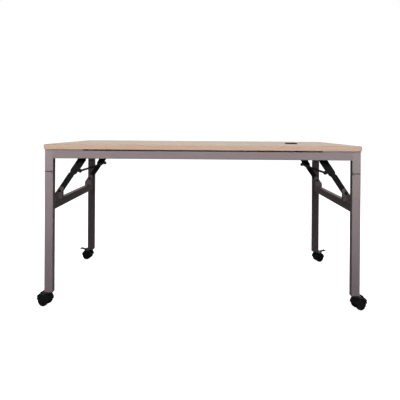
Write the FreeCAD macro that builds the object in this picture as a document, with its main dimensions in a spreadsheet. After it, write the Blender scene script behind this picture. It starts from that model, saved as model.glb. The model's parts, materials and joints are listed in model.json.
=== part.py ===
import FreeCAD, Part
import math
import os
import Sketcher

# Folding office desk on casters.  Millimetres, +Z up, X along the long side,
# front at -Y, origin on the floor under the middle of the top.

V = FreeCAD.Vector
Rot = FreeCAD.Rotation
Pl = FreeCAD.Placement

doc = FreeCAD.newDocument("folding_desk")
sheet = doc.addObject("Spreadsheet::Sheet", "dims")

DIMS = [
    # top board
    ("top_length", 1400), ("top_depth", 610), ("top_thick", 22), ("top_height", 720),
    ("band_thick", 2), ("band_corner", 4),
    # cable grommet
    ("grommet_x", 445), ("grommet_y", -68), ("cable_radius", 25), ("flange_radius", 30),
    ("flange_thick", 5), ("flange_sink", 2), ("sleeve_inner", 22.5), ("cap_seat", 24.5), ("cap_radius", 24.4),
    ("cap_thick", 2.7), ("notch_width", 14), ("notch_start", 9),
    # frame tube
    ("frame_length", 1392), ("frame_depth", 602), ("tube_wide", 38), ("tube_narrow", 25),
    ("tube_wall", 1.5), ("tube_corner", 3), ("rail_wide", 35),
    # fixing plates and screws
    ("plate_thick", 6), ("plate_length", 170), ("plate_width", 60),
    ("screw_radius", 2), ("screw_head_radius", 4), ("screw_head", 2.6), ("screw_bite", 16),
    # leg joint
    ("joint_height", 599), ("joint_gap", 0.6), ("plug_flange", 1.2), ("plug_insert", 15),
    ("foot_flange", 2), ("foot_insert", 30), ("foot_height", 62),
    ("hinge_inset", 5), ("knuckle_radius", 4.8), ("knuckle_clear", 5.2),
    ("post_notch", 5.4), ("leg_notch", 6.4), ("leaf_start", 1),
    ("hinge_pin_radius", 2.5), ("leaf_thick", 2.5), ("leaf_length", 34), ("leaf_width", 19),
    ("knuckle_middle", 7.4), ("knuckle_slot", 8.2), ("running", 0.05),
    # leg crossbar and folding stays
    ("crossbar_height", 443), ("foot_x", 662), ("foot_z", 500), ("head_x", 552), ("head_z", 665),
    ("knee_x", 602), ("knee_z", 590),
    ("arm_gauge", 2.5), ("arm_channel", 12), ("upper_half", 17), ("lower_half", 12.5),
    ("upper_plane", 205), ("lower_plane", 205.5), ("stay_pin", 4), ("pin_head_radius", 6.5),
    ("pin_head", 2), ("rivet_head", 3), ("cheek_thick", 3), ("cheek_radius", 12), ("cheek_reach", 12),
    ("cheek_room", 0.3), ("bracket_length", 60), ("bracket_width", 52),
    ("rod_radius", 5), ("rod_reach", 24), ("ear_back", 17.5), ("ear_radius", 9),
    # casters
    ("caster_trail", 22), ("wheel_radius", 25), ("wheel_inner", 7.5), ("wheel_outer", 21.5),
    ("axle_radius", 3), ("axle_half", 18.4), ("hood_half", 7), ("fender_inner", 26.5),
    ("fender_outer", 29.5), ("stem_radius", 4), ("boss_radius", 10), ("boss_top", 57.5),
    ("collar_radius", 9), ("collar_thick", 4), ("stem_low", 36.5),
    ("lever_x", 34), ("lever_z", 57), ("lever_barrel", 3.5), ("lever_pin", 2),
    ("lever_length", 34), ("lever_half", 10), ("lever_thick", 3.5),
]
for row, (alias, value) in enumerate(DIMS, 1):
    sheet.set("A%d" % row, alias)
    sheet.set("B%d" % row, str(value))
    sheet.setAlias("B%d" % row, alias)
doc.recompute()
D = {alias: float(getattr(sheet, alias)) for alias, value in DIMS}

TURN = {
    "x": Rot(V(0, 1, 0), 90),
    "y": Rot(V(1, 0, 0), -90),
    "z": Rot(),
}
nodes = []          # the sub-parts that are written out
count = {}


def uniq(stem):
    count[stem] = count.get(stem, 0) + 1
    return "%s_%03d" % (stem, count[stem])


def e(text):
    """An expression on the sheet: every word in it is a cell's alias."""
    out, word = "", ""
    for ch in str(text) + " ":
        if ch.isalpha() or ch == "_":
            word += ch
            continue
        if word:
            out += word if word == "sqrt" else "dims." + word
            word = ""
        out += ch
    return out.strip()


def box(lx, ly, lz, at, rot=None):
    o = doc.addObject("Part::Box", uniq("box"))
    o.setExpression("Length", e(lx))
    o.setExpression("Width", e(ly))
    o.setExpression("Height", e(lz))
    o.Placement = Pl(V(*at), rot or Rot())
    return o


def cyl(r, h, at, axis="z"):
    o = doc.addObject("Part::Cylinder", uniq("cyl"))
    o.setExpression("Radius", e(r))
    o.setExpression("Height", e(h))
    o.Placement = Pl(V(*at), TURN[axis])
    return o


def fuse(*shapes):
    o = doc.addObject("Part::MultiFuse", uniq("fuse"))
    o.Shapes = list(shapes)
    o.Refine = True
    return o


def group(*shapes):
    o = doc.addObject("Part::Compound", uniq("group"))
    o.Links = list(shapes)
    return o


def cut(base, *tools):
    o = doc.addObject("Part::Cut", uniq("cut"))
    o.Base = base
    o.Tool = tools[0] if len(tools) == 1 else group(*tools)
    return o


def common(a, b):
    o = doc.addObject("Part::Common", uniq("common"))
    o.Base = a
    o.Tool = b
    return o


def node(obj, label):
    obj.Label = label
    nodes.append(obj)
    return obj


def place(obj, at, rot=None):
    obj.Placement = Pl(V(*at), rot or Rot())
    return obj


def rz(deg):
    return Rot(V(0, 0, 1), deg)


# ---------------------------------------------------------------- sketches
def plane(body, role):
    for f in body.Origin.OriginFeatures:
        if f.Role == role:
            return f


def sketch(body, role="XY_Plane"):
    sk = body.newObject("Sketcher::SketchObject", uniq("sketch"))
    sk.AttachmentSupport = [(plane(body, role), "")]
    sk.MapMode = "FlatFace"
    return sk


def dim(sk, kind, args, value, expr):
    i = sk.addConstraint(Sketcher.Constraint(kind, *(list(args) + [value])))
    sk.setExpression("Constraints[%d]" % i, e(expr))


def rounded_rect(sk, w, h, r, ew, eh, er):
    """Rectangle with rounded corners, centred on the sketch's origin."""
    x, y = w / 2 - r, h / 2 - r
    line = lambda a, b: sk.addGeometry(Part.LineSegment(V(a[0], a[1], 0), V(b[0], b[1], 0)), False)
    arc = lambda c, a0: sk.addGeometry(
        Part.ArcOfCircle(Part.Circle(V(c[0], c[1], 0), V(0, 0, 1), r), a0, a0 + math.pi / 2), False)
    b = line((-x, -h / 2), (x, -h / 2))
    a1 = arc((x, -y), -math.pi / 2)
    ri = line((w / 2, -y), (w / 2, y))
    a2 = arc((x, y), 0)
    t = line((x, h / 2), (-x, h / 2))
    a3 = arc((-x, y), math.pi / 2)
    le = line((-w / 2, y), (-w / 2, -y))
    a4 = arc((-x, -y), math.pi)
    C = Sketcher.Constraint
    for p, q in ((b, a1), (a1, ri), (ri, a2), (a2, t), (t, a3), (a3, le), (le, a4), (a4, b)):
        sk.addConstraint(C("Tangent", p, 2, q, 1))
    for g in (b, t):
        sk.addConstraint(C("Horizontal", g))
    for g in (ri, le):
        sk.addConstraint(C("Vertical", g))
    for g in (a2, a3, a4):
        sk.addConstraint(C("Equal", a1, g))
    sk.addConstraint(C("Symmetric", a1, 3, a3, 3, -1, 1))
    dim(sk, "DistanceX", (le, 1, ri, 1), w, ew)
    dim(sk, "DistanceY", (b, 1, t, 1), h, eh)
    dim(sk, "Radius", (a1,), r, er)


def circle(sk, r, er):
    c = sk.addGeometry(Part.Circle(V(0, 0, 0), V(0, 0, 1), r), False)
    sk.addConstraint(Sketcher.Constraint("Coincident", c, 3, -1, 1))
    dim(sk, "Radius", (c,), r, er)


def pad(body, sk, length):
    f = body.newObject("PartDesign::Pad", uniq("pad"))
    f.Profile = sk
    f.setExpression("Length", e(length))
    return f


def new_body():
    return doc.addObject("PartDesign::Body", uniq("body"))


def revolve(points):
    """A turned piece: points are (radius, height) pairs of numbers or expressions,
    turned about the body's Z axis."""
    body = new_body()
    sk = sketch(body, "XZ_Plane")
    xy = [tuple(value(c) for c in p) for p in points]
    n = len(xy)
    g = [sk.addGeometry(Part.LineSegment(V(*xy[i], 0), V(*xy[(i + 1) % n], 0)), False) for i in range(n)]
    for i in range(n):
        sk.addConstraint(Sketcher.Constraint("Coincident", g[i], 2, g[(i + 1) % n], 1))
    for i, (p, q) in enumerate(zip(points, xy)):
        if abs(q[0]) < 1e-9:
            sk.addConstraint(Sketcher.Constraint("PointOnObject", g[i], 1, -2))
        else:
            dim(sk, "DistanceX", (-1, 1, g[i], 1), q[0], p[0])
        dim(sk, "DistanceY", (-1, 1, g[i], 1), q[1], p[1])
    f = body.newObject("PartDesign::Revolution", uniq("turn"))
    f.Profile = sk
    f.ReferenceAxis = (sk, ["V_Axis"])
    f.Angle = 360.0
    return body


def value(expr):
    """The number behind a sum of cells such as 'wheel_radius - 2.2'."""
    total, sign = 0.0, 1.0
    for token in str(expr).replace("+", " + ").replace("-", " - ").split():
        if token == "+":
            sign = 1.0
        elif token == "-":
            sign = -1.0
        else:
            total += sign * (D[token] if token in D else float(token))
            sign = 1.0
    return total


# ---------------------------------------------------------------- frame tube
ALONG_X = Rot(V(0, 1, 0), 90)        # wide side upright, narrow side across
ALONG_Y = Rot(V(1, 1, 1), -120)      # wide side upright
ALONG_Z = Rot()                      # wide side along X

W, N, T, C = D["tube_wide"], D["tube_narrow"], D["tube_wall"], D["tube_corner"]


def tube(label, length, at, rot, *notches, wide="tube_wide"):
    body = new_body()
    sk = sketch(body)
    rounded_rect(sk, D[wide], N, C, wide, "tube_narrow", "tube_corner")
    rounded_rect(sk, D[wide] - 2 * T, N - 2 * T, C - T, wide + " - 2*tube_wall",
                 "tube_narrow - 2*tube_wall", "tube_corner - tube_wall")
    pad(body, sk, length)
    body.Placement = Pl(V(*at), rot)
    return node(cut(body, *notches) if notches else body, label)


def plug(flange, insert, at, down, stem=False):
    """End plug: a flange as large as the tube, and an insert that fills its bore."""
    body = new_body()
    a = sketch(body)
    rounded_rect(a, W, N, C, "tube_wide", "tube_narrow", "tube_corner")
    if stem:
        circle(a, D["stem_radius"], "stem_radius")
    pad(body, a, flange)
    b = sketch(body)
    rounded_rect(b, W - 2 * T, N - 2 * T, C - T, "tube_wide - 2*tube_wall",
                 "tube_narrow - 2*tube_wall", "tube_corner - tube_wall")
    if stem:
        circle(b, D["stem_radius"], "stem_radius")
    pad(body, b, "%s + %s" % (flange, insert))
    body.Placement = Pl(V(*at), Rot(V(1, 0, 0), 180) if down else Rot())
    return body


FX, FY = D["frame_length"] / 2, D["frame_depth"] / 2
TOP = D["top_height"]
UNDER = TOP - D["top_thick"]                 # underside of the board
FTOP = UNDER - D["plate_thick"]              # top of the frame
RAILZ = FTOP - D["rail_wide"] / 2
LEGX, LEGY = FX - W / 2, FY - N / 2
JZ, JG = D["joint_height"], D["joint_gap"] / 2
POSTLOW = JZ + JG + D["plug_flange"]
LEGTOP = JZ - JG - D["plug_flange"]
LEGLOW = D["foot_height"] + D["foot_flange"]
HX = FX - W + D["hinge_inset"]               # hinge axis, right-hand side, just inside the inner wall
SIDES = (("left", -1), ("right", 1))
ENDS = (("front", -1), ("rear", 1))



def at_hinge(obj, sx, sy):
    """Moves a piece drawn about a hinge axis, +X to the table's middle, to its corner."""
    obj.Placement = Pl(V(sx * HX, sy * LEGY, JZ), rz(0 if sx < 0 else 180)).multiply(obj.Placement)
    return obj


def post_room(sx, sy):
    """Room round the hinge barrel in the post's end, and for the leg's inner wall as it folds."""
    return at_hinge(fuse(cyl("post_notch", "tube_narrow + 2", (0, -N / 2 - 1, 0), "y"),
                         box("hinge_inset + 1", "tube_narrow + 2", "post_notch", (0, -N / 2 - 1, 0))), sx, sy)


def leg_room(sx, sy):
    """Room round the hinge barrel in the leg's end."""
    return at_hinge(cyl("leg_notch", "tube_narrow + 2", (0, -N / 2 - 1, 0), "y"), sx, sy)


def leaf_room(sx, sy, up):
    """Room beside the plug for the hinge leaf that lies on the tube's inner wall."""
    return at_hinge(box("hinge_inset + 1", "tube_narrow + 2", "plug_insert + 6",
                        (D["leaf_start"] - 0.4, -N / 2 - 1, 0 if up else -D["plug_insert"] - 6)), sx, sy)


for end, sy in ENDS:
    tube("%s_rail" % end, "frame_length - 2*tube_wide", (-(FX - W), sy * LEGY, RAILZ), ALONG_X, wide="rail_wide")
for side, sx in SIDES:
    tube("%s_end_rail" % side, "frame_depth - 2*tube_narrow",
         (sx * (FX - N / 2), -(FY - N), RAILZ), ALONG_Y, wide="rail_wide")
    for end, sy in ENDS:
        tube("corner_post_%s_%s" % (end, side),
             "top_height - top_thick - plate_thick - joint_height - joint_gap/2 - plug_flange",
             (sx * LEGX, sy * LEGY, POSTLOW), ALONG_Z, post_room(sx, sy))
        tube("%s_%s_leg" % (side, end),
             "joint_height - joint_gap/2 - plug_flange - foot_height - foot_flange",
             (sx * LEGX, sy * LEGY, LEGLOW), ALONG_Z, leg_room(sx, sy))
    tube("%s_crossbar" % side, "frame_depth - 2*tube_narrow",
         (sx * LEGX, -(FY - N), D["crossbar_height"]), ALONG_Y)

CORNERS = [(sx, sy) for side, sx in SIDES for end, sy in ENDS]
node(group(*[cut(plug("plug_flange", "plug_insert", (sx * LEGX, sy * LEGY, JZ + JG), False),
                 post_room(sx, sy), leaf_room(sx, sy, True))
             for sx, sy in CORNERS]), "post_plugs")
for side, sx in SIDES:
    node(group(*(
        [cut(plug("plug_flange", "plug_insert", (sx * LEGX, sy * LEGY, JZ - JG), True),
             leg_room(sx, sy), leaf_room(sx, sy, False))
         for end, sy in ENDS] +
        [plug("foot_flange", "foot_insert", (sx * LEGX, sy * LEGY, D["foot_height"]), False, True)
         for end, sy in ENDS])), "%s_leg_plugs" % side)

# ---------------------------------------------------------------- top board
B2 = D["band_thick"]
gx, gy = D["grommet_x"], D["grommet_y"]
U = (D["head_x"], D["head_z"])               # upper stay pivot, right-hand side
F = (D["foot_x"], D["foot_z"])               # lower stay pivot, right-hand side
HEADY = D["upper_plane"] - D["arm_channel"] / 2
BTOP = UNDER - D["cheek_thick"]              # underside of the stay brackets' plates
frame_screws = [(sx * (FX - q), sy * (FY - 45)) for sx, sy in CORNERS for q in (55, 150)]
stay_screws = [(sx * U[0] + px, sy * HEADY + py) for sx, sy in CORNERS for px in (-22, 22) for py in (-18, 18)]


def board(lx, ly, corner, elx, ely, ecorner, thick="top_thick"):
    body = new_body()
    sk = sketch(body)
    rounded_rect(sk, lx, ly, corner, elx, ely, ecorner)
    pad(body, sk, thick)
    body.Placement = Pl(V(0, 0, UNDER), Rot())
    return body


core = board(D["top_length"] - 2 * B2, D["top_depth"] - 2 * B2, D["band_corner"] - B2,
             "top_length - 2*band_thick", "top_depth - 2*band_thick", "band_corner - band_thick")
node(cut(core,
         cyl("cable_radius", "top_thick + 2", (gx, gy, UNDER - 1)),
         cyl("flange_radius", "flange_sink + 1", (gx, gy, TOP - D["flange_sink"])),
         *[cyl("screw_radius", "screw_bite + 1", (x, y, UNDER - 1)) for x, y in frame_screws + stay_screws]), "desktop")

band = new_body()
sk = sketch(band)
rounded_rect(sk, D["top_length"], D["top_depth"], D["band_corner"],
             "top_length", "top_depth", "band_corner")
rounded_rect(sk, D["top_length"] - 2 * B2, D["top_depth"] - 2 * B2, D["band_corner"] - B2,
             "top_length - 2*band_thick", "top_depth - 2*band_thick", "band_corner - band_thick")
pad(band, sk, "top_thick")
band.Placement = Pl(V(0, 0, UNDER), Rot())
node(band, "edge_band")

# grommet sleeve: raised flange let into the board, a seat inside it for the turning cap
LIP = TOP + D["flange_thick"]
sleeve = cut(fuse(cyl("cable_radius", "top_thick", (gx, gy, UNDER + 3)),
                  cyl("flange_radius", "flange_sink + flange_thick", (gx, gy, TOP - D["flange_sink"]))),
             fuse(cyl("sleeve_inner", "top_thick + flange_thick + 2", (gx, gy, UNDER)),
                  cyl("cap_seat", "4", (gx, gy, LIP - 3))))
node(sleeve, "grommet_sleeve")
CAPZ = LIP - D["cap_thick"]
cap = cut(cyl("cap_radius", "cap_thick", (gx, gy, CAPZ)),
          fuse(box("notch_width", "cap_radius", "cap_thick + 2",
                   (gx - D["notch_width"] / 2, gy + D["notch_start"] + D["notch_width"] / 2, CAPZ - 1)),
               cyl("notch_width/2", "cap_thick + 2",
                   (gx, gy + D["notch_start"] + D["notch_width"] / 2, CAPZ - 1))))
node(cap, "grommet_cap")

# ---------------------------------------------------------------- fixing plates and screws
PLT, PLL, PLW = D["plate_thick"], D["plate_length"], D["plate_width"]
plates = []
for sx, sy in CORNERS:
    x0 = -FX if sx < 0 else FX - PLL
    y0 = -FY if sy < 0 else FY - PLW
    plates.append(cut(box("plate_length", "plate_width", "plate_thick", (x0, y0, FTOP)),
                      *[cyl("screw_radius", "plate_thick + 2", (sx * (FX - q), sy * (FY - 45), FTOP - 1))
                        for q in (55, 150)]))
node(group(*plates), "fixing_plates")
node(group(*[fuse(cyl("screw_radius", "screw_bite + %s" % grip, (x, y, seat)),
                  cyl("screw_head_radius", "screw_head", (x, y, seat - D["screw_head"])))
             for places, grip, seat in ((frame_screws, "plate_thick", FTOP), (stay_screws, "cheek_thick", BTOP))
             for x, y in places]), "top_screws")

# ---------------------------------------------------------------- leg hinges
LT, LL, LW, LS = D["leaf_thick"], D["leaf_length"], D["leaf_width"], D["leaf_start"]
KM, KS, KR = D["knuckle_middle"], D["knuckle_slot"], D["knuckle_radius"]


def upper_leaf(sx, sy):
    """Leaf inside the post, on its inner wall, with the two outer knuckles."""
    plate = box("leaf_thick", "leaf_width", "leaf_length", (LS, -LW / 2, 0.8))
    k = [cyl("knuckle_radius", "(tube_narrow - knuckle_slot)/2", (0, y, 0), "y")
         for y in (-N / 2, KS / 2)]
    o = cut(fuse(plate, *k), cyl("hinge_pin_radius", "tube_narrow + 2", (0, -N / 2 - 1, 0), "y"))
    return at_hinge(cut(o, cyl("knuckle_clear", "knuckle_slot", (0, -KS / 2, 0), "y")), sx, sy)


def lower_leaf(sx, sy):
    """Leaf inside the leg, on its inner wall, with the middle knuckle."""
    plate = box("leaf_thick", "leaf_width", "leaf_length", (LS, -LW / 2, -0.8 - LL))
    plate = cut(plate, *[cyl("knuckle_clear", "leaf_width/2 - knuckle_middle/2 + 1", (0, y, 0), "y")
                         for y in (-LW / 2 - 1, KM / 2)])
    o = fuse(plate, cyl("knuckle_radius", "knuckle_middle", (0, -KM / 2, 0), "y"))
    return at_hinge(cut(o, cyl("hinge_pin_radius + running", "leaf_width + 2", (0, -LW / 2 - 1, 0), "y")), sx, sy)


node(group(*[upper_leaf(sx, sy) for sx, sy in CORNERS]), "hinge_upper_leaves")
node(group(*[cyl("hinge_pin_radius", "tube_narrow", (sx * HX, sy * LEGY - N / 2, JZ), "y")
             for sx, sy in CORNERS]), "hinge_pins")
for side, sx in SIDES:
    node(group(*[lower_leaf(sx, sy) for end, sy in ENDS]), "%s_hinge_leaves" % side)

# ---------------------------------------------------------------- folding stays
KNEE = (D["knee_x"], D["knee_z"])             # on the line between the two pivots, so that the stay is straight
UARM = math.hypot(U[0] - KNEE[0], U[1] - KNEE[1])
LARM = math.hypot(F[0] - KNEE[0], F[1] - KNEE[1])
EU = "sqrt((knee_x - head_x)^2 + (head_z - knee_z)^2)"
EL = "sqrt((foot_x - knee_x)^2 + (knee_z - foot_z)^2)"
G, CH = D["arm_gauge"], D["arm_channel"]
DN = ((KNEE[0] - U[0]) / UARM, (KNEE[1] - U[1]) / UARM)    # from the upper pivot to the knee
OUT = (DN[1], -DN[0])                                      # square to it, to the table's middle
EARX = UARM - D["ear_back"]                                # the ear that holds the release rod
RODC = tuple(U[i] + DN[i] * EARX + OUT[i] * D["rod_reach"] for i in (0, 1))


def frame3(ex, ey, at):
    """Placement whose X and Y axes are the given unit vectors."""
    ez = ex.cross(ey)
    return Pl(V(*at), Rot(ex, ey, ez, "ZXY"))


def upper_arm(sx, sy):
    f = -sx * sy
    z0 = 0 if f > 0 else G - CH
    h = D["upper_half"]
    web = fuse(box(EU, "2*upper_half", "arm_gauge", (0, -h, 0)),
               cyl("upper_half", "arm_gauge", (0, 0, 0)),
               cyl("upper_half", "arm_gauge", (UARM, 0, 0)),
               box("2*ear_radius", "rod_reach", "arm_gauge", (EARX - D["ear_radius"], 0, 0)),
               cyl("ear_radius", "arm_gauge", (EARX, D["rod_reach"], 0)),
               box(EU + " - 34", "arm_gauge", "arm_channel", (18, -h, z0)),
               box(EU + " - 34", "arm_gauge", "arm_channel", (18, h - G, z0)))
    o = cut(web,
            cyl("stay_pin + running", "arm_gauge + 2", (0, 0, -1)),
            cyl("stay_pin", "arm_gauge + 2", (UARM, 0, -1)),
            cyl("rod_radius", "arm_gauge + 2", (EARX, D["rod_reach"], -1)))
    y = sy * (D["upper_plane"] if f > 0 else D["upper_plane"] - G)
    o.Placement = frame3(V(sx * DN[0], 0, DN[1]), V(sx * OUT[0], 0, OUT[1]), (sx * U[0], y, U[1]))
    return o


def lower_arm(sx, sy):
    f = -sx * sy
    z0 = 0 if f > 0 else G - CH
    h = D["lower_half"]
    web = fuse(box(EL, "2*lower_half", "arm_gauge", (0, -h, 0)),
               cyl("lower_half", "arm_gauge", (0, 0, 0)),
               cyl("lower_half", "arm_gauge", (LARM, 0, 0)),
               cyl("pin_head_radius", "arm_gauge + rivet_head", (LARM, 0, 0 if f > 0 else -D["rivet_head"])),
               box(EL + " - 30", "arm_gauge", "arm_channel", (15, -h, z0)),
               box(EL + " - 30", "arm_gauge", "arm_channel", (15, h - G, z0)))
    o = cut(web, cyl("stay_pin + running", "arm_gauge + 2", (0, 0, -1)))
    y = sy * (D["lower_plane"] if f > 0 else D["lower_plane"] + G)
    o.Placement = frame3(V(-sx * DN[0], 0, -DN[1]), V(sx * OUT[0], 0, OUT[1]), (sx * F[0], y, F[1]))
    return o


def pin(r, length, head_r, head, at):
    """Headed pin along Y, at its middle, with a head at each end."""
    x, y, z = at
    half = value(length) / 2
    k = D["pin_head"]
    return fuse(cyl(r, "%s + 2*%s" % (length, head), (x, y - half - k, z), "y"),
                cyl(head_r, head, (x, y - half - k, z), "y"),
                cyl(head_r, head, (x, y + half, z), "y"))


CK, CR, ROOM = D["cheek_thick"], D["cheek_radius"], D["cheek_room"]
GRIP = CH / 2 + ROOM                          # half the room between two cheeks
PINSPAN = "arm_channel + cheek_room + cheek_room + cheek_thick + cheek_thick"


def top_bracket(sx, sy):
    yc = sy * HEADY
    x = sx * U[0]
    bl, bw = D["bracket_length"], D["bracket_width"]
    parts = [box("bracket_length", "bracket_width", "cheek_thick", (x - bl / 2, yc - bw / 2, BTOP))]
    for y in (yc - GRIP - CK, yc + GRIP):
        parts.append(box("2*cheek_radius", "cheek_thick",
                         "top_height - top_thick - cheek_thick - head_z + 0.01", (x - CR, y, U[1])))
        parts.append(cyl("cheek_radius", "cheek_thick", (x, y, U[1]), "y"))
    o = cut(fuse(*parts), cyl("stay_pin", "bracket_width + 2", (x, yc - bw / 2 - 1, U[1]), "y"))
    return cut(o, *[cyl("screw_radius", "cheek_thick + 2", (x + px, yc + py, BTOP - 1))
                    for px in (-22, 22) for py in (-18, 18)])


FOOTY = D["lower_plane"] + CH / 2
XTOP = D["crossbar_height"] + W / 2           # top of the crossbar
SLANT = Rot(V(0, 1, 0), -math.degrees(math.atan2(-DN[1], -DN[0])))   # along the stay, from its foot up


def stay_foot(sx, sy):
    """Bracket on the crossbar, drawn for the right-hand side about its own middle."""
    xo, xi = LEGX + N / 2, LEGX - N / 2
    wide = 2 * (GRIP + CK)
    parts = [box("tube_narrow", "arm_channel + 2*cheek_room + 2*cheek_thick", "cheek_thick",
                 (xi, -wide / 2, XTOP)),
             box("cheek_thick", "arm_channel + 2*cheek_room + 2*cheek_thick",
                 "foot_z + 5 - crossbar_height - tube_wide/2", (xo - CK, -wide / 2, XTOP))]
    for y in (-GRIP - CK, GRIP):
        parts.append(box("(frame_length - tube_wide + tube_narrow)/2 - foot_x", "cheek_thick",
                         "foot_z + cheek_radius - crossbar_height - tube_wide/2", (F[0], y, XTOP)))
        parts.append(box("cheek_radius", "cheek_thick", "foot_z - crossbar_height - tube_wide/2",
                         (F[0] - CR, y, XTOP)))
        parts.append(cyl("cheek_radius", "cheek_thick", (F[0], y, F[1]), "y"))
        parts.append(box("cheek_reach", "cheek_thick", "2*cheek_radius",
                         (F[0] - DN[1] * CR, y, F[1] + DN[0] * CR), SLANT))
        parts.append(cyl("cheek_radius", "cheek_thick",
                         (F[0] - DN[0] * D["cheek_reach"], y, F[1] - DN[1] * D["cheek_reach"]), "y"))
    beyond = CR + 40                          # the outer edge runs on in line with the stay
    o = cut(fuse(*parts), cyl("stay_pin", "60", (F[0], -30, F[1]), "y"),
            box("120", "60", "40", (F[0] - DN[1] * beyond + DN[0] * 60, -30, F[1] + DN[0] * beyond + DN[1] * 60), SLANT))
    return place(o, (0, sy * FOOTY, 0), rz(0 if sx > 0 else 180))


node(group(*[top_bracket(sx, sy) for sx, sy in CORNERS]), "stay_top_brackets")
node(group(*[pin("stay_pin", PINSPAN, "pin_head_radius", "pin_head", (sx * U[0], sy * HEADY, U[1]))
             for sx, sy in CORNERS]), "stay_top_pins")
for side, sx in SIDES:
    node(group(*[stay_foot(sx, sy) for end, sy in ENDS]), "%s_stay_feet" % side)
    node(group(*[pin("stay_pin", PINSPAN, "pin_head_radius", "pin_head", (sx * F[0], sy * FOOTY, F[1]))
                 for end, sy in ENDS]), "%s_stay_foot_pins" % side)
    node(group(*[upper_arm(sx, sy) for end, sy in ENDS]), "%s_upper_stays" % side)
    node(group(*[lower_arm(sx, sy) for end, sy in ENDS]), "%s_lower_stays" % side)
    node(cyl("rod_radius", "2*upper_plane", (sx * RODC[0], -D["upper_plane"], RODC[1]), "y"),
         "%s_release_rod" % side)
    rivets = []
    for end, sy in ENDS:
        y0 = -D["upper_plane"] if sy < 0 else D["upper_plane"] - G
        yh = y0 + G if sy < 0 else y0 - D["rivet_head"]
        rivets.append(fuse(cyl("stay_pin", "arm_gauge", (sx * KNEE[0], y0, KNEE[1]), "y"),
                           cyl("pin_head_radius", "rivet_head", (sx * KNEE[0], yh, KNEE[1]), "y")))
    node(group(*rivets), "%s_knee_rivets" % side)

# ---------------------------------------------------------------- casters
TR, WR = D["caster_trail"], D["wheel_radius"]
WI, WO, HH = D["wheel_inner"], D["wheel_outer"], D["hood_half"]
LX, LZ = D["lever_x"], D["lever_z"]
# the way each caster trails (degrees from +X), and its lever's tilt: raised or pressed
CASTERS = (("front_left", -1, -1, 163, -40), ("rear_left", -1, 1, 170, 6),
           ("front_right", 1, -1, 20, -40), ("rear_right", 1, 1, 18, 6))


def hood():
    core = common(cyl("fender_inner + 1.5", "2*hood_half", (TR, -HH, WR), "y"),
                  box("fender_outer*3", "100", "60", (-40, -50, WR - 1)))
    hub = cyl("axle_radius*4", "2*hood_half", (TR, -HH, WR), "y")
    boss = cyl("boss_radius", "boss_top - 34", (0, 0, 34))
    neck = box("caster_trail", "2*hood_half", "18", (0, -HH, 36))
    shell = common(cut(cyl("fender_outer", "2*wheel_outer", (TR, -WO, WR), "y"),
                       cyl("fender_inner", "2*wheel_outer + 2", (TR, -WO - 1, WR), "y")),
                   box("62", "100", "40", (-8, -50, WR + 1)))
    ears = []
    for y in (-14, 11.2):
        ears.append(box("8", "2.8", "lever_z - 48", (LX - 4, y, 48)))
        ears.append(cyl("4", "2.8", (LX, y, LZ), "y"))
    o = cut(fuse(core, hub, boss, neck, shell, *ears),
            cyl("fender_inner", "20", (TR, HH, WR), "y"),
            cyl("fender_inner", "20", (TR, -HH - 20, WR), "y"))
    return cut(o,
               cyl("stem_radius + running", "40", (0, 0, D["stem_low"] - 0.5)),
               cyl("axle_radius + running", "40", (TR, -20, WR), "y"),
               cyl("lever_pin + running", "40", (LX, -20, LZ), "y"))


def wheel_pair():
    pts = [("axle_radius", "wheel_inner"), ("wheel_radius - 2.5", "wheel_inner"),
           ("wheel_radius", "wheel_inner + 2"), ("wheel_radius", "wheel_outer - 2.3"),
           ("wheel_radius - 2.2", "wheel_outer"), ("wheel_radius - 6", "wheel_outer"),
           ("wheel_radius - 7.5", "wheel_outer - 1.7"), ("9", "wheel_outer - 1.7"),
           ("7.5", "wheel_outer - 0.5"), ("0", "wheel_outer - 0.5"),
           ("0", "axle_half + 0.2"), ("axle_radius", "axle_half + 0.2")]
    pair = []
    for turn in (-90, 90):
        w = revolve(pts)
        w.Placement = Pl(V(TR, 0, WR), Rot(V(1, 0, 0), turn))
        pair.append(w)
    return group(*pair)


def lever(tilt):
    o = fuse(cyl("lever_barrel", "2*lever_half + 1.8", (0, -D["lever_half"] - 0.9, 0), "y"),
             cyl("lever_pin", "27.8", (0, -13.9, 0), "y"),
             box("lever_length", "2*lever_half", "lever_thick", (0, -D["lever_half"], -D["lever_thick"] / 2)),
             cyl("lever_thick*0.7", "2*lever_half", (D["lever_length"], -D["lever_half"], 0), "y"))
    o.Placement = Pl(V(LX, 0, LZ), Rot(V(0, 1, 0), -tilt))
    return o


def stem():
    p = doc.addObject("Part::Prism", uniq("prism"))
    p.Polygon = 6
    p.setExpression("Circumradius", e("collar_radius"))
    p.setExpression("Height", e("collar_thick"))
    p.Placement = Pl(V(0, 0, D["foot_height"] - D["collar_thick"]), Rot())
    return fuse(cyl("stem_radius", "foot_height + foot_insert - stem_low", (0, 0, D["stem_low"])), p)


for name, sx, sy, way, tilt in CASTERS:
    at = (sx * LEGX, sy * LEGY, 0)
    for piece, label in ((hood(), "caster_hood_%s"), (wheel_pair(), "caster_wheels_%s"),
                         (cyl("axle_radius", "2*axle_half", (TR, -D["axle_half"], WR), "y"), "caster_axle_%s"),
                         (lever(tilt), "caster_brake_%s")):
        piece.Placement = Pl(V(*at), rz(way)).multiply(piece.Placement)
        node(piece, label % name)
for side, sx in SIDES:
    node(group(*[place(stem(), (sx * LEGX, sy * LEGY, 0)) for end, sy in ENDS]), "%s_caster_stems" % side)

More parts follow.
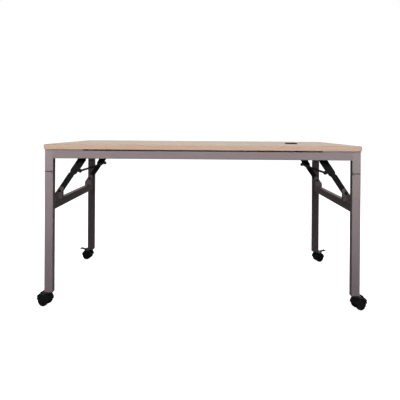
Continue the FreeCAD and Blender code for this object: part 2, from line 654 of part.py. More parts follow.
# ---------------------------------------------------------------- check and write
doc.recompute()
bad = [o.Name for o in doc.Objects if "Invalid" in o.State or "Error" in o.State]
for o in nodes:
    if o.Shape.isNull() or not o.Shape.isValid() or not o.Shape.Solids:
        bad.append(o.Label)
if bad:
    raise RuntimeError("failed objects: " + ", ".join(bad))
labels = [o.Label for o in nodes]
if len(set(labels)) != len(labels) or len(labels) > 60:
    raise RuntimeError("node names clash or are too many: %d" % len(labels))
os.makedirs("parts", exist_ok=True)
for o in nodes:
    o.Shape.exportStep("parts/%s.step" % o.Label)
    b = o.Shape.BoundBox
    print("%-26s solids %2d  volume %10.1f  x %.1f..%.1f y %.1f..%.1f z %.1f..%.1f" % (
        o.Label, len(o.Shape.Solids), o.Shape.Volume, b.XMin, b.XMax, b.YMin, b.YMax, b.ZMin, b.ZMax))
print("nodes", len(nodes))
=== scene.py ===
import bpy, bmesh, math, json
from mathutils import Vector, Matrix

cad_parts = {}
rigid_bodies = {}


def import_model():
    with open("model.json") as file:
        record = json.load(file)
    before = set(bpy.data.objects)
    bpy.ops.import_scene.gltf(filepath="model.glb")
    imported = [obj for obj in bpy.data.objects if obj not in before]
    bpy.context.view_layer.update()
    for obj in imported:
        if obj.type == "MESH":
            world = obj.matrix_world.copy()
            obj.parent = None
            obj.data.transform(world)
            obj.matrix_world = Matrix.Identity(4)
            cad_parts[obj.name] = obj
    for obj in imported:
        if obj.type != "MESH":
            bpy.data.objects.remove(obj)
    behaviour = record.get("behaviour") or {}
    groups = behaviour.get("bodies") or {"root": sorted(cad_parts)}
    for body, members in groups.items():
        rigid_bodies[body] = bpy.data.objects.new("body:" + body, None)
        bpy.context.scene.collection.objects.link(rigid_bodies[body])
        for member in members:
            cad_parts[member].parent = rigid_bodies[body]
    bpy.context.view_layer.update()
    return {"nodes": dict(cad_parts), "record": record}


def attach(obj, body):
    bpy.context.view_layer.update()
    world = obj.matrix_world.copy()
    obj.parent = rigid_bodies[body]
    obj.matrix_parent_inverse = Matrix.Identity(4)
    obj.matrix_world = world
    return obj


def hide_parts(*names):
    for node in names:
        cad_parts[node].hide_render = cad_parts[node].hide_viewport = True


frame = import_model()
NODE = frame["nodes"]
scene = bpy.context.scene


# ------------------------------------------------------------------ materials
class Mat:
    """A small helper round one node tree with object coordinates."""

    def __init__(self, name):
        self.m = bpy.data.materials.new(name)
        self.m.use_nodes = True
        self.t = self.m.node_tree
        self.t.nodes.clear()
        self.out = self.t.nodes.new("ShaderNodeOutputMaterial")
        self.b = self.t.nodes.new("ShaderNodeBsdfPrincipled")
        self.t.links.new(self.b.outputs[0], self.out.inputs[0])
        self.co = self.t.nodes.new("ShaderNodeTexCoord").outputs["Object"]

    def link(self, a, b):
        self.t.links.new(a, b)

    def node(self, kind, **props):
        n = self.t.nodes.new(kind)
        for k, v in props.items():
            setattr(n, k, v)
        return n

    def put(self, sock, v):
        if hasattr(v, "is_linked"):
            self.link(v, sock)
        else:
            sock.default_value = v

    def mapping(self, scale=(1, 1, 1), rot=(0, 0, 0), loc=(0, 0, 0), co=None):
        n = self.node("ShaderNodeMapping")
        self.link(co or self.co, n.inputs["Vector"])
        n.inputs["Scale"].default_value = scale
        n.inputs["Rotation"].default_value = rot
        n.inputs["Location"].default_value = loc
        return n.outputs[0]

    def noise(self, scale, detail=3.0, rough=0.5, dist=0.0, co=None, color=False):
        n = self.node("ShaderNodeTexNoise")
        self.link(co or self.co, n.inputs["Vector"])
        n.inputs["Scale"].default_value = scale
        n.inputs["Detail"].default_value = detail
        n.inputs["Roughness"].default_value = rough
        n.inputs["Distortion"].default_value = dist
        return n.outputs["Color" if color else "Fac"]

    def voronoi(self, scale, co=None, feature="F1", rnd=1.0):
        n = self.node("ShaderNodeTexVoronoi", feature=feature)
        self.link(co or self.co, n.inputs["Vector"])
        n.inputs["Scale"].default_value = scale
        n.inputs["Randomness"].default_value = rnd
        return n.outputs["Distance"]

    def ramp(self, fac, stops, interp="LINEAR"):
        n = self.node("ShaderNodeValToRGB")
        n.color_ramp.interpolation = interp
        el = n.color_ramp.elements
        while len(el) < len(stops):
            el.new(0.5)
        for e, (p, c) in zip(el, stops):
            e.position = p
            e.color = (c, c, c, 1) if not hasattr(c, "__len__") else (*c, 1)
        self.put(n.inputs[0], fac)
        return n.outputs[0]

    def mix(self, fac, a, b, mode="MIX"):
        n = self.node("ShaderNodeMix", data_type="RGBA", blend_type=mode)
        self.put(n.inputs[0], fac)
        self.put(n.inputs[6], a if hasattr(a, "is_linked") or len(a) == 4 else (*a, 1))
        self.put(n.inputs[7], b if hasattr(b, "is_linked") or len(b) == 4 else (*b, 1))
        return n.outputs[2]

    def math(self, op, a, b=0.0, clamp=False):
        n = self.node("ShaderNodeMath", operation=op, use_clamp=clamp)
        self.put(n.inputs[0], a)
        self.put(n.inputs[1], b)
        return n.outputs[0]

    def span(self, fac, lo, hi):
        n = self.node("ShaderNodeMapRange")
        self.put(n.inputs["Value"], fac)
        n.inputs["From Min"].default_value = 0.25
        n.inputs["From Max"].default_value = 0.75
        n.inputs["To Min"].default_value = lo
        n.inputs["To Max"].default_value = hi
        return n.outputs[0]

    def bump(self, height, strength, distance, normal=None):
        n = self.node("ShaderNodeBump")
        self.put(n.inputs["Height"], height)
        n.inputs["Strength"].default_value = strength
        n.inputs["Distance"].default_value = distance
        if normal:
            self.link(normal, n.inputs["Normal"])
        return n.outputs[0]

    def done(self, color, rough, normal=None, metallic=0.0, spec=0.5, coat=0.0, coat_rough=0.1):
        self.put(self.b.inputs["Base Color"], color)
        self.put(self.b.inputs["Roughness"], rough)
        self.b.inputs["Metallic"].default_value = metallic
        self.b.inputs["Specular IOR Level"].default_value = spec
        if coat:
            self.b.inputs["Coat Weight"].default_value = coat
            self.b.inputs["Coat Roughness"].default_value = coat_rough
        if normal:
            self.link(normal, self.b.inputs["Normal"])
        return self.m


def wood(name, along="X", tone=1.0):
    """Pale wood-grain laminate, the grain running along one axis."""
    m = Mat(name)
    rot = (0, 0, 0) if along == "X" else (0, 0, math.radians(90))
    k = m.mapping((1, 1, 1), rot)
    broad = m.noise(1.0, 4, 0.55, 0.6, m.mapping((1.1, 9.0, 9.0), co=k))
    cath = m.noise(1.0, 5, 0.6, 1.4, m.mapping((2.2, 38.0, 38.0), co=k))
    fine = m.noise(1.0, 6, 0.62, 0.3, m.mapping((9.0, 420.0, 420.0), co=k))
    pore = m.voronoi(1.0, m.mapping((55.0, 1500.0, 1500.0), co=k))
    base = m.ramp(broad, [(0.28, (0.535 * tone, 0.372 * tone, 0.272 * tone)),
                          (0.5, (0.600 * tone, 0.428 * tone, 0.322 * tone)),
                          (0.75, (0.650 * tone, 0.476 * tone, 0.368 * tone))])
    grain = m.ramp(cath, [(0.32, 0.78), (0.46, 1.0), (0.56, 0.92), (0.68, 1.03)])
    col = m.mix(0.75, base, grain, "MULTIPLY")
    hair = m.ramp(fine, [(0.30, 0.82), (0.52, 1.0), (0.8, 1.05)])
    col = m.mix(0.65, col, hair, "MULTIPLY")
    pores = m.ramp(pore, [(0.0, 0.70), (0.16, 1.0)])
    col = m.mix(0.45, col, pores, "MULTIPLY")
    h = m.math("ADD", m.math("MULTIPLY", fine, 0.6), m.math("MULTIPLY", pores, 0.5))
    rough = m.span(m.noise(14.0, 3), 0.30, 0.40)
    return m.done(col, rough, m.bump(h, 0.08, 0.0003), spec=0.5)


def paint(name, color, dark, rough=(0.42, 0.54), peel=0.16, spec=0.3):
    """Powder coat: faint orange peel, small tone drift and a few dust specks."""
    m = Mat(name)
    drift = m.noise(6.0, 3, 0.5)
    speck = m.noise(900.0, 2, 0.5)
    col = m.mix(m.ramp(drift, [(0.3, 0.0), (0.7, 1.0)]), dark, color)
    col = m.mix(0.5, col, m.ramp(speck, [(0.34, 0.86), (0.5, 1.0), (0.68, 1.10)]), "MULTIPLY")
    peeln = m.noise(520.0, 2, 0.5)
    grit = m.noise(2400.0, 1, 0.5)
    h = m.math("ADD", peeln, m.math("MULTIPLY", grit, 0.25))
    return m.done(col, m.span(m.noise(40.0, 4), *rough), m.bump(h, peel, 0.0004), spec=spec)


def plastic(name, color, light, rough=(0.42, 0.55), grain=1800.0, spec=0.3):
    """Moulded plastic with a fine spark-eroded grain and faint scuffs."""
    m = Mat(name)
    cloud = m.noise(60.0, 4, 0.6)
    col = m.mix(m.ramp(cloud, [(0.35, 0.0), (0.75, 1.0)]), color, light)
    scuff = m.noise(1.0, 3, 0.6, 0.5, m.mapping((90.0, 700.0, 300.0)))
    col = m.mix(m.ramp(scuff, [(0.66, 0.0), (0.80, 0.35)]), col, light)
    h = m.noise(grain, 2, 0.55)
    return m.done(col, m.span(m.noise(120.0, 3), *rough), m.bump(h, 0.18, 0.00025), spec=spec)


def rubber(name, color, dust):
    m = Mat(name)
    worn = m.noise(35.0, 5, 0.62, 0.4)
    col = m.mix(m.ramp(worn, [(0.5, 0.0), (0.78, 0.55)]), color, dust)
    h = m.math("ADD", m.noise(300.0, 4, 0.6), m.math("MULTIPLY", m.noise(2600.0, 1), 0.4))
    return m.done(col, m.span(m.noise(80.0, 4), 0.55, 0.75), m.bump(h, 0.22, 0.0004), spec=0.15)


def plated(name, color=(0.60, 0.60, 0.59), tint=(0.70, 0.68, 0.62)):
    m = Mat(name)
    cloud = m.noise(90.0, 4, 0.6, 0.3)
    col = m.mix(m.ramp(cloud, [(0.3, 0.0), (0.7, 1.0)]), color, tint)
    brush = m.noise(1.0, 3, 0.6, 0.0, m.mapping((260.0, 260.0, 2600.0)))
    h = m.math("ADD", m.noise(700.0, 3), m.math("MULTIPLY", brush, 0.7))
    return m.done(col, m.span(cloud, 0.26, 0.44), m.bump(h, 0.12, 0.0002), metallic=1.0)


M = {
    "board": wood("laminate_board", "X", 0.95),
    "edge_band": wood("laminate_edge", "X", 0.94),
    "grommet_plastic": plastic("grommet_plastic", (0.010, 0.010, 0.010), (0.026, 0.026, 0.026), (0.70, 0.82), spec=0.02),
    "plug_plastic": plastic("plug_plastic", (0.012, 0.011, 0.011), (0.030, 0.029, 0.029), spec=0.15),
    "frame_paint": paint("frame_powder_coat", (0.264, 0.217, 0.228), (0.238, 0.193, 0.203)),
    "black_steel": paint("black_powder_coat", (0.010, 0.010, 0.010), (0.016, 0.015, 0.015), (0.42, 0.54), 0.2, 0.15),
    "plated_steel": plated("zinc_plate"),
    "caster_nylon": plastic("caster_nylon", (0.007, 0.007, 0.008), (0.018, 0.018, 0.019), (0.38, 0.5), spec=0.15),
    "caster_tread": rubber("caster_tread", (0.010, 0.010, 0.010), (0.034, 0.033, 0.031)),
}
EDGE_Y = wood("laminate_edge_short", "Y", 0.94)
SLOT = {s["node"]: s["material_slot"] for s in frame["record"]["subparts"]}
BODY = {n: b for b, ns in frame["record"]["behaviour"]["bodies"].items() for n in ns}


# ------------------------------------------------------------------ mesh tools
def piece(name, bm, mats, body, nodes=(), sharp=42.0):
    """Makes one piece from a mesh: smooth shading that stays flat on flats, a body and a finish."""
    me = bpy.data.meshes.new(name)
    bmesh.ops.recalc_face_normals(bm, faces=bm.faces)
    for f in bm.faces:
        f.smooth = True
    bm.to_mesh(me)
    bm.free()
    me.set_sharp_from_angle(angle=math.radians(sharp))
    for m in mats:
        me.materials.append(m)
    ob = bpy.data.objects.new(name, me)
    scene.collection.objects.link(ob)
    wn = ob.modifiers.new("even_normals", "WEIGHTED_NORMAL")
    wn.keep_sharp = True
    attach(ob, body)
    if nodes:
        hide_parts(*nodes)
    return ob


def refined(node, width=0.0005, pick=None, segments=2, mats=None):
    """A node's shape with its arrises rounded: flats are joined into whole faces first."""
    bm = bmesh.new()
    bm.from_mesh(NODE[node].data)
    bmesh.ops.remove_doubles(bm, verts=bm.verts, dist=1e-6)
    bmesh.ops.dissolve_limit(bm, angle_limit=math.radians(0.6), verts=bm.verts, edges=bm.edges)
    sharp = [e for e in bm.edges if e.is_manifold and e.calc_face_angle() > math.radians(28)]
    groups = {}
    for e in sharp:
        w = pick(e) if pick else width
        if w:
            groups.setdefault(w, []).append(e)
    for w, es in sorted(groups.items()):
        es = [e for e in es if e.is_valid]
        bmesh.ops.bevel(bm, geom=es, offset=w, offset_type="OFFSET", segments=segments, profile=0.5,
                        affect="EDGES", clamp_overlap=False)
    return piece(node + "_piece", bm, mats or [M[SLOT[node]]], BODY[node], (node,))


def lathe(bm, profile, to_world, segments=48, mat=0):
    """Turns a closed loop of (radius, height) points about local Z; points on the axis close the ends."""
    rings = []
    for r, z in profile:
        if r < 1e-9:
            rings.append([bm.verts.new(to_world @ Vector((0, 0, z)))])
        else:
            rings.append([bm.verts.new(to_world @ Vector((r * math.cos(2 * math.pi * i / segments),
                                                           r * math.sin(2 * math.pi * i / segments), z)))
                          for i in range(segments)])
    n = len(rings)
    for a in range(n):
        p, q = rings[a], rings[(a + 1) % n]
        if len(p) == 1 and len(q) == 1:
            continue
        for i in range(segments):
            j = (i + 1) % segments
            if len(p) == 1:
                f = bm.faces.new((p[0], q[j], q[i]))
            elif len(q) == 1:
                f = bm.faces.new((p[i], p[j], q[0]))
            else:
                f = bm.faces.new((p[i], p[j], q[j], q[i]))
            f.material_index = mat


def block(bm, lo, hi, to_world, round_by=0.0003, mat=0):
    """A small block with rounded arrises."""
    r = bmesh.ops.create_cube(bm, size=1.0)
    vs = r["verts"]
    lo, hi = Vector(lo), Vector(hi)
    for v in vs:
        v.co = to_world @ Vector([(lo[k] + hi[k]) / 2 + v.co[k] * (hi[k] - lo[k]) for k in range(3)])
    es = list({e for v in vs for e in v.link_edges})
    bmesh.ops.bevel(bm, geom=es, offset=round_by, offset_type="OFFSET", segments=2, profile=0.5,
                    affect="EDGES", clamp_overlap=True)


def bead(bm, a, b, r, lump=0.0055):
    """A weld bead along a straight seam: overlapping ripples with tapered ends."""
    a, b = Vector(a), Vector(b)
    length = (b - a).length
    d = (b - a) / length
    side = d.cross(Vector((0, 0, 1)))
    if side.length < 0.1:
        side = d.cross(Vector((1, 0, 0)))
    side.normalize()
    up_ = side.cross(d)
    steps = max(8, int(length / 0.0011))
    rings = []
    for i in range(steps + 1):
        t = i / steps
        s_ = t * length
        end = min(1.0, math.sin(math.pi * min(1.0, min(t, 1 - t) * length / (1.6 * r)) / 2) if 0 < t < 1 else 0.0)
        ripple = 1.0 - 0.16 * ((s_ / lump) % 1.0) ** 1.5 + 0.05 * math.sin(37.0 * s_ / lump)
        rr = r * end * ripple
        c = a + d * s_
        if end == 0.0:
            rings.append([bm.verts.new(c)])
        else:
            rings.append([bm.verts.new(c + (side * math.cos(w) + up_ * math.sin(w)) * rr)
                          for w in [2 * math.pi * k / 10 for k in range(10)]])
    for p, q in zip(rings, rings[1:]):
        for k in range(10):
            j = (k + 1) % 10
            if len(p) == 1:
                bm.faces.new((p[0], q[j], q[k]))
            elif len(q) == 1:
                bm.faces.new((p[k], p[j], q[0]))
            else:
                bm.faces.new((p[k], p[j], q[j], q[k]))


def prism(bm, pts, z0, z1):
    """An upright prism on a polygon of (x, y) points."""
    lo = [bm.verts.new((x, y, z0)) for x, y in pts]
    hi = [bm.verts.new((x, y, z1)) for x, y in pts]
    n = len(pts)
    bm.faces.new(lo[::-1])
    bm.faces.new(hi)
    for i in range(n):
        j = (i + 1) % n
        bm.faces.new((lo[i], lo[j], hi[j], hi[i]))


# ------------------------------------------------------------------ top
def band_edges(e):
    side = [f for f in e.link_faces if abs(f.normal.z) < 0.5]
    if not side:
        return 0
    f = side[0]
    c = f.calc_center_median()
    return 0.0011 if f.normal.x * c.x + f.normal.y * c.y > 0 else 0.00012


GROMMET = Vector((0.445, -0.068))
refined("desktop", 0.00015)
band = refined("edge_band", pick=band_edges, segments=3, mats=[M["edge_band"], EDGE_Y])
for poly in band.data.polygons:
    c = poly.center
    poly.material_index = 1 if abs(c.x) - 0.700 > abs(c.y) - 0.305 else 0
refined("grommet_sleeve", segments=4,
        pick=lambda e: 0.0020 if all(v.co.z > 0.7249 and (v.co.xy - GROMMET).length > 0.0299 for v in e.verts) else 0.0004)
refined("grommet_cap", 0.0004)

# ------------------------------------------------------------------ frame, legs and hinges
for n in NODE:
    if n.endswith("_rail") or n.endswith("_crossbar"):
        refined(n, 0.0)
    elif n.startswith("corner_post") or n.endswith("_leg"):
        refined(n, 0.0003)
    elif n.endswith("plugs"):
        refined(n, 0.0002)
    elif n == "fixing_plates":
        refined(n, 0.0008)
    elif n.endswith("hinge_leaves") or n == "hinge_upper_leaves":
        refined(n, 0.0003)
    elif n == "hinge_pins":
        refined(n, 0.0006)
    elif n == "stay_top_brackets" or n.endswith("stay_feet"):
        refined(n, 0.0006)
    elif n.endswith("upper_stays") or n.endswith("lower_stays"):
        refined(n, 0.0006)
    elif n.endswith("caster_stems"):
        refined(n, 0.0004)
    elif n.startswith("caster_hood"):
        refined(n, 0.0004)
    elif n.startswith("caster_brake"):
        refined(n, 0.0005)
    elif n.startswith("caster_axle"):
        refined(n, 0.0004)

FXm, FYm, WIDE, NARROW = 0.696, 0.301, 0.038, 0.025
INX, INY = FXm - WIDE, FYm - NARROW
welds = bmesh.new()
for sx in (-1, 1):
    for sy in (-1, 1):
        # rail and end rail to the corner post, from below
        bead(welds, (sx * INX, sy * (FYm - 0.003), 0.657), (sx * INX, sy * (INY + 0.003), 0.657), 0.0022)
        bead(welds, (sx * (FXm - 0.003), sy * INY, 0.657), (sx * (FXm - NARROW + 0.003), sy * INY, 0.657), 0.0022)
        bead(welds, (sx * INX, sy * INY, 0.660), (sx * INX, sy * INY, 0.689), 0.0018)
        bead(welds, (sx * (FXm - NARROW), sy * INY, 0.660), (sx * (FXm - NARROW), sy * INY, 0.689), 0.0018)
        # filled and ground seams, flush with the outer faces
        x = sx * INX
        y = sy * FYm
        prism(welds, [(x + sx * 0.0034, y - sy * 0.00006), (x - sx * 0.0012, y - sy * 0.00006),
                      (x - sx * 0.0012, y - sy * 0.0030), (x + sx * 0.0009, y - sy * 0.0030)], 0.6600, 0.6890)
        x, y = sx * FXm, sy * INY
        prism(welds, [(x - sx * 0.00006, y + sy * 0.0034), (x - sx * 0.00006, y - sy * 0.0012),
                      (x - sx * 0.0030, y - sy * 0.0012), (x - sx * 0.0030, y + sy * 0.0009)], 0.6600, 0.6890)
piece("frame_welds", welds, [M["frame_paint"]], "frame")
for side, sx in (("left", -1), ("right", 1)):
    w = bmesh.new()
    xo, xi = sx * 0.6895, sx * 0.6645
    for sy in (-1, 1):
        y = sy * INY
        bead(w, (xi + sx * 0.002, y, 0.424), (xo - sx * 0.002, y, 0.424), 0.0024)
        bead(w, (xi + sx * 0.002, y, 0.462), (xo - sx * 0.002, y, 0.462), 0.0024)
        bead(w, (xi, y, 0.4265), (xi, y, 0.4595), 0.0024)
        bead(w, (xo, y, 0.4265), (xo, y, 0.4595), 0.0024)
        for yy in (0.2115 - 0.0093, 0.2115 + 0.0093):
            bead(w, (sx * 0.6675, sy * yy, 0.462), (sx * 0.6865, sy * yy, 0.462), 0.0020)
    piece("%s_leg_welds" % side, w, [M["frame_paint"]], side + "_leg")

# ------------------------------------------------------------------ pins, rivets, rods and screws
ALONG_Y = Matrix.Rotation(math.radians(-90), 4, "X")       # local Z to +Y


def headed(bm, at, half, r=0.004, hr=0.0065, hh=0.002):
    """Pin along Y with a domed head at each end."""
    h0, h1 = half, half + hh
    prof = [(0, -h1), (hr * 0.45, -h1 + hh * 0.06), (hr * 0.80, -h1 + hh * 0.32), (hr * 0.97, -h1 + hh * 0.66),
            (hr, -h0 - hh * 0.10), (hr * 0.985, -h0), (r, -h0), (r, h0), (hr * 0.985, h0), (hr, h0 + hh * 0.10),
            (hr * 0.97, h1 - hh * 0.66), (hr * 0.80, h1 - hh * 0.32), (hr * 0.45, h1 - hh * 0.06), (0, h1)]
    lathe(bm, prof, Matrix.Translation(at) @ ALONG_Y, 40)


UPP, FOOT, KNEE, ROD = (0.552, 0.665), (0.662, 0.500), (0.602, 0.590), (0.5723237, 0.5912551)
SPAN = 0.0093
top_pins = bmesh.new()
for sx in (-1, 1):
    for sy in (-1, 1):
        headed(top_pins, Vector((sx * UPP[0], sy * 0.199, UPP[1])), SPAN)
piece("stay_top_pins_piece", top_pins, [M["black_steel"]], "frame", ("stay_top_pins",))
for side, sx in (("left", -1), ("right", 1)):
    bm = bmesh.new()
    for sy in (-1, 1):
        headed(bm, Vector((sx * FOOT[0], sy * 0.2115, FOOT[1])), SPAN)
    piece("%s_stay_foot_pins_piece" % side, bm, [M["black_steel"]], side + "_leg",
          ("%s_stay_foot_pins" % side,))
    bm = bmesh.new()
    for sy in (-1, 1):
        # the rivet's shank in the arm, and its domed head on the inner side
        flip = Matrix.Scale(-1, 4, Vector((0, 0, 1))) if sy > 0 else Matrix.Identity(4)
        m = Matrix.Translation((sx * KNEE[0], sy * 0.205, KNEE[1])) @ ALONG_Y @ flip
        lathe(bm, [(0, 0.00001), (0.004, 0.00001), (0.004, 0.0025), (0.0064, 0.0025), (0.0065, 0.0029), (0.0063, 0.0038),
                   (0.0053, 0.0048), (0.0030, 0.0054), (0, 0.0055)], m, 40)
    piece("%s_knee_rivets_piece" % side, bm, [M["black_steel"]], side + "_upper_stay",
          ("%s_knee_rivets" % side,))
    bm = bmesh.new()
    m = Matrix.Translation((sx * ROD[0], 0, ROD[1])) @ ALONG_Y
    prof = [(0, -0.205), (0.0040, -0.205), (0.0048, -0.2045), (0.005, -0.2037), (0.005, -0.2020), (0.005, -0.1990),
            (0.00485, -0.1985), (0.00485, -0.1980), (0.005, -0.1975), (0.005, 0.0), (0.005, 0.1975), (0.00485, 0.1980),
            (0.00485, 0.1985), (0.005, 0.1990), (0.005, 0.2020), (0.005, 0.2037), (0.0048, 0.2045), (0.0040, 0.205), (0, 0.205)]
    lathe(bm, prof, m, 36)
    piece("%s_release_rod_piece" % side, bm, [M["black_steel"]], side + "_upper_stay",
          ("%s_release_rod" % side,))

screws = bmesh.new()
spots = [(sx * (0.696 - q), sy * (0.301 - 0.045), 0.692) for sx in (-1, 1) for sy in (-1, 1) for q in (0.055, 0.150)]
spots += [(sx * UPP[0] + px, sy * 0.199 + py, 0.695) for sx in (-1, 1) for sy in (-1, 1)
          for px in (-0.022, 0.022) for py in (-0.018, 0.018)]
for k, (x, y, seat) in enumerate(spots):
    turn = Matrix.Translation((x, y, seat)) @ Matrix.Rotation(math.radians(180), 4, "X") @ Matrix.Rotation(0.7 * k, 4, "Z")
    SEG, RR = 48, [0.0, 0.0005, 0.0009, 0.0013, 0.0017, 0.0021, 0.0025, 0.0030, 0.0035, 0.0039, 0.0040]
    rings = []
    for r in RR:
        row = []
        for i in range(1 if r == 0 else SEG):
            a = 2 * math.pi * i / SEG
            u, v = r * math.cos(a), r * math.sin(a)
            zz = 0.0026 * math.sqrt(max(0.0, 1 - (r / 0.0044) ** 2))
            if min(abs(u), abs(v)) < 0.00042 and max(abs(u), abs(v)) < 0.0023:
                zz -= 0.0013 * (1 - max(abs(u), abs(v)) / 0.0030)
            row.append(screws.verts.new(turn @ Vector((u, v, zz))))
        rings.append(row)
    for p, q in zip(rings, rings[1:]):
        for i in range(SEG):
            j = (i + 1) % SEG
            if len(p) == 1:
                screws.faces.new((p[0], q[i], q[j]))
            else:
                screws.faces.new((p[i], q[i], q[j], p[j]))
    rim = rings[-1]
    tip = 0.019 if seat > 0.693 else 0.022
    prof = [(0.0040, 0.0), (0.0020, -0.00001)]
    step = 0.0016
    zc = -0.003
    while zc > -tip + 0.004:
        prof += [(0.0020, zc), (0.0015, zc - 0.0005), (0.0020, zc - 0.0010)]
        zc -= step
    prof += [(0.0016, -tip + 0.003), (0.0, -tip)]
    prev = rim
    for r, z in prof:
        row = [screws.verts.new(turn @ Vector((r * math.cos(2 * math.pi * i / SEG), r * math.sin(2 * math.pi * i / SEG), z)))
               for i in range(SEG)] if r else [screws.verts.new(turn @ Vector((0, 0, z)))]
        for i in range(SEG):
            j = (i + 1) % SEG
            if len(row) == 1:
                screws.faces.new((prev[i], row[0], prev[j]))
            else:
                screws.faces.new((prev[i], row[i], row[j], prev[j]))
        prev = row
piece("top_screws_piece", screws, [M["plated_steel"]], "frame", ("top_screws",))

# ------------------------------------------------------------------ casters
TRAIL, WR, LX, LZ = 0.022, 0.025, 0.034, 0.057
CASTERS = (("front_left", -1, -1, 163, -40), ("rear_left", -1, 1, 170, 6),
           ("front_right", 1, -1, 20, -40), ("rear_right", 1, 1, 18, 6))
WHEEL = [(3.0, 7.5), (20.8, 7.5), (22.4, 7.7), (23.7, 8.4), (24.6, 9.5), (24.92, 10.8), (25.0, 12.2), (24.35, 12.45),
         (24.35, 12.95), (25.0, 13.2), (25.0, 15.9), (24.35, 16.15), (24.35, 16.65), (25.0, 16.9), (24.95, 18.2),
         (24.65, 19.4), (24.0, 20.5), (23.1, 21.2), (22.0, 21.5), (19.6, 21.5), (18.9, 21.3), (18.4, 20.6), (18.1, 19.7),
         (17.4, 19.4), (9.8, 19.4), (9.1, 19.7), (8.6, 20.6), (7.8, 21.05), (6.0, 21.25), (3.0, 21.4), (0, 21.45),
         (0, 18.6), (3.0, 18.6)]
WHEEL = [(r / 1000, z / 1000) for r, z in WHEEL]
for name, sx, sy, way, tilt in CASTERS:
    base = Matrix.Translation((sx * 0.677, sy * 0.2885, 0)) @ Matrix.Rotation(math.radians(way), 4, "Z")
    bm = bmesh.new()
    for turn in (-90, 90):
        m = base @ Matrix.Translation((TRAIL, 0, WR)) @ Matrix.Rotation(math.radians(turn), 4, "X")
        lathe(bm, WHEEL, m, 72)
        for k in range(9):
            block(bm, (0.0084, -0.0009, 0.0186), (0.0186, 0.0009, 0.0205),
                  m @ Matrix.Rotation(2 * math.pi * k / 9, 4, "Z"), 0.0003)
    piece("caster_wheels_%s_piece" % name, bm, [M["caster_tread"]], "wheels_" + name, ("caster_wheels_" + name,))
    # ridges of the moulded hood: two rows along the fender
    bm = bmesh.new()
    for y in (-0.0128, 0.0128):
        for k in range(15):
            a0 = math.radians(22 + 8.0 * k)
            m = base @ Matrix.Translation((TRAIL, y, WR)) @ Matrix.Rotation(-a0, 4, "Y")
            block(bm, (0.0288, -0.0008, -0.0022), (0.02985, 0.0008, 0.0022), m, 0.00025)
    piece("caster_hood_ridges_%s" % name, bm, [M["caster_nylon"]], "caster_" + name)
    # grip bars on the brake lever
    bm = bmesh.new()
    m = base @ Matrix.Translation((LX, 0, LZ)) @ Matrix.Rotation(math.radians(-tilt), 4, "Y")
    for x in (0.019, 0.0225, 0.026, 0.0295):
        block(bm, (x - 0.0007, -0.0085, 0.0014), (x + 0.0007, 0.0085, 0.0025), m, 0.0003)
    piece("caster_brake_grip_%s" % name, bm, [M["caster_nylon"]], "brake_" + name)


# ------------------------------------------------------------------ camera
f_px, cx, cy = 356.62, 202.15, 131.25
yaw, pitch, roll = 0.013268, 0.003579, 0.0067016
fwd0 = Vector((-math.sin(yaw), math.cos(yaw), 0))
right0 = Vector((math.cos(yaw), math.sin(yaw), 0))
up = Vector((0, 0, 1))
fwd = fwd0 * math.cos(pitch) - up * math.sin(pitch)
up0 = fwd0 * math.sin(pitch) + up * math.cos(pitch)
right = right0 * math.cos(roll) + up0 * math.sin(roll)
upv = up0 * math.cos(roll) - right0 * math.sin(roll)
cam_data = bpy.data.cameras.new("camera")
cam = bpy.data.objects.new("camera", cam_data)
scene.collection.objects.link(cam)
cam_data.sensor_fit = "HORIZONTAL"
cam_data.sensor_width = 36.0
cam_data.lens = f_px / 400 * 36.0
cam_data.shift_x = (200 - cx) / 400
cam_data.shift_y = (cy - 200) / 400
cam_data.clip_start, cam_data.clip_end = 0.05, 200
mw = Matrix((right, upv, -fwd)).transposed().to_4x4()
mw.translation = Vector((0.020886, -1.868920, 0.787))
cam.matrix_world = mw
scene.camera = cam

# ------------------------------------------------------------------ floor and light
bm = bmesh.new()
R = 60.0
vs = [bm.verts.new((R * math.cos(a), R * math.sin(a), 0)) for a in [2 * math.pi * i / 64 for i in range(64)]]
bm.faces.new(vs)
me = bpy.data.meshes.new("floor")
bm.to_mesh(me)
bm.free()
floor = bpy.data.objects.new("floor", me)
scene.collection.objects.link(floor)
fm = Mat("floor_pale")
fcol = fm.ramp(fm.noise(0.8, 2), [(0.3, (0.90, 0.90, 0.895)), (0.7, (0.93, 0.93, 0.925))])
fm.put(fm.b.inputs["Emission Color"], (0.97, 0.97, 0.965, 1))
fm.b.inputs["Emission Strength"].default_value = 0.92
floor.data.materials.append(fm.done(fcol, 0.8, spec=0.0))
floor.visible_diffuse = False
floor.visible_glossy = False

# A white room above, dim below for everything but the camera.
world = bpy.data.worlds.new("studio")
scene.world = world
world.use_nodes = True
wt = world.node_tree
wt.nodes.clear()
wo = wt.nodes.new("ShaderNodeOutputWorld")
bg = wt.nodes.new("ShaderNodeBackground")
lp = wt.nodes.new("ShaderNodeLightPath")
tc = wt.nodes.new("ShaderNodeTexCoord")
sep = wt.nodes.new("ShaderNodeSeparateXYZ")
wt.links.new(tc.outputs["Generated"], sep.inputs[0])


def wmap(value, f0, f1, t0, t1):
    n = wt.nodes.new("ShaderNodeMapRange")
    for key, v in (("Value", value), ("From Min", f0), ("From Max", f1), ("To Min", t0), ("To Max", t1)):
        if hasattr(v, "is_linked"):
            wt.links.new(v, n.inputs[key])
        else:
            n.inputs[key].default_value = v
    return n.outputs[0]


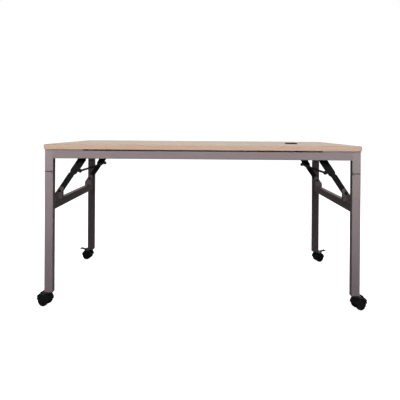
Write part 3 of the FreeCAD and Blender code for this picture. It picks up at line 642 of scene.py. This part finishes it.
AMBIENT, GLOSS, BELOW = 0.12, 1.0, 0.05
amb = wmap(sep.outputs["Z"], -0.03, 0.02, 0.08, AMBIENT)
glo = wmap(sep.outputs["Z"], -0.03, 0.02, BELOW, wmap(sep.outputs["Z"], 0.06, 0.30, 0.28, GLOSS))
seen = wmap(lp.outputs["Is Diffuse Ray"], 0.0, 1.0, glo, amb)
bg.inputs["Color"].default_value = (1, 1, 1, 1)
wt.links.new(wmap(lp.outputs["Is Camera Ray"], 0.0, 1.0, seen, 1.0), bg.inputs["Strength"])
wt.links.new(bg.outputs[0], wo.inputs[0])


def area(name, loc, aim, sx, sy, power, spread=180.0):
    d = bpy.data.lights.new(name, "AREA")
    d.shape = "RECTANGLE"
    d.size, d.size_y = sx, sy
    d.energy = power
    d.spread = math.radians(spread)
    o = bpy.data.objects.new(name, d)
    scene.collection.objects.link(o)
    o.location = loc
    o.rotation_mode = "QUATERNION"
    o.rotation_quaternion = (Vector(aim) - Vector(loc)).to_track_quat("-Z", "Y")
    o.visible_glossy = False
    return o


key = area("key_strip", (0, -4.9, 2.2), (0, -0.3, 1.00), 4.5, 0.9, 23, 30)
area("rear_fill", (0, 4.9, 2.6), (0, 0.3, 0.6), 4.5, 1.2, 18, 60)
area("left_fill", (-4.6, 0, 3.0), (-0.7, 0, 0.6), 2.0, 1.2, 4, 60)
area("right_fill", (4.6, 0, 3.0), (0.7, 0, 0.6), 2.0, 1.2, 4, 60)

# The far half stands in the shade of the top: the key light is flagged off it. The front legs have a
# key of their own, each from its own side, so that their inner faces stay dark.
def linked(light, name, words, state):
    group = bpy.data.collections.new(name)
    for ob in list(scene.objects):
        if ob.type == "MESH" and any(w in ob.name for w in words):
            group.objects.link(ob)
    for i in range(len(group.objects)):
        group.collection_objects[i].light_linking.link_state = state
    light.light_linking.receiver_collection = group


LEGS = {"left": ("left_front_leg", "corner_post_front_left"), "right": ("right_front_leg", "corner_post_front_right")}
linked(key, "key_flagged", ("left_rear_leg", "right_rear_leg", "rear_rail", "corner_post_rear", "_rear_left", "_rear_right",
                            "crossbar", "leg_welds", "stay_feet") + LEGS["left"] + LEGS["right"], "EXCLUDE")
for side, sx in (("left", -1), ("right", 1)):
    lamp = area("key_%s" % side, (sx * 2.2, -4.7, 2.2), (sx * 0.68, -0.3, 1.06), 1.6, 0.9, 12.6, 30)
    linked(lamp, "key_%s_only" % side, LEGS[side], "INCLUDE")
feet = area("feet_key", (0, -4.7, 2.0), (0, -0.2, 0.6), 4.0, 0.9, 7, 40)
linked(feet, "feet_only", ("stay_feet",), "INCLUDE")

scene.view_settings.view_transform = "Standard"
scene.view_settings.look = "None"
